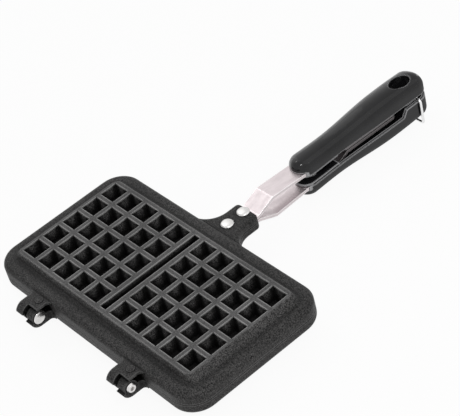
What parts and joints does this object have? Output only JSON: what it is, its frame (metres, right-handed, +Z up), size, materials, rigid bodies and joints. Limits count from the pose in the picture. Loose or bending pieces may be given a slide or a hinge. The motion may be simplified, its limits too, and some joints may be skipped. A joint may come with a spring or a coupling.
{
  "type": "stovetop waffle iron",
  "caption": "Hinged stovetop waffle iron: two cast plates with waffle grids, long strap handles with deep plastic grips, and a wire bail that holds the grips shut.",
  "frame": {"origin": "centre of the two plates in plan, at the outer face of the lower plate", "axes": "+Z up through the closed plates, +Y from the plates towards the handle's end, +X along the plates' long side, parallel to the hinge axis"},
  "size_m": [0.233, 0.3589, 0.0404],
  "materials": {
    "coated_casting": "cast aluminium with a dark grey, finely speckled non-stick coat",
    "strap_steel": "satin",
    "rivet_metal": "satin",
    "screw_steel": "satin",
    "grip_plastic": "glossy black phenolic",
    "wire_steel": "bright wire"
  },
  "bodies": {
    "base": {"bottom_plate": "coated_casting", "lower_strap": "strap_steel", "lower_tang_rivet_front": "rivet_metal", "lower_tang_rivet_rear": "rivet_metal", "lower_grip_screw_front": "screw_steel", "lower_grip_screw_rear": "screw_steel", "lower_grip": "grip_plastic", "hinge_pin_left": "rivet_metal", "hinge_pin_right": "rivet_metal"},
    "lid": {"top_plate": "coated_casting", "upper_strap": "strap_steel", "upper_tang_rivet_front": "rivet_metal", "upper_tang_rivet_rear": "rivet_metal", "upper_grip_screw_front": "screw_steel", "upper_grip_screw_rear": "screw_steel", "upper_grip": "grip_plastic"},
    "bail": {"bail": "wire_steel"}
  },
  "joints": [
    {"name": "lid_hinge", "type": "hinge", "parent": "base", "child": "lid", "pos_m": [0, -0.0748, 0.0153], "axis": [1, 0, 0], "range_deg": [0, 105]},
    {"name": "bail_pivot", "type": "hinge", "parent": "base", "child": "bail", "pos_m": [0, 0.263, 0.017], "axis": [1, 0, 0], "range_deg": [-10, 210]}
  ]
}
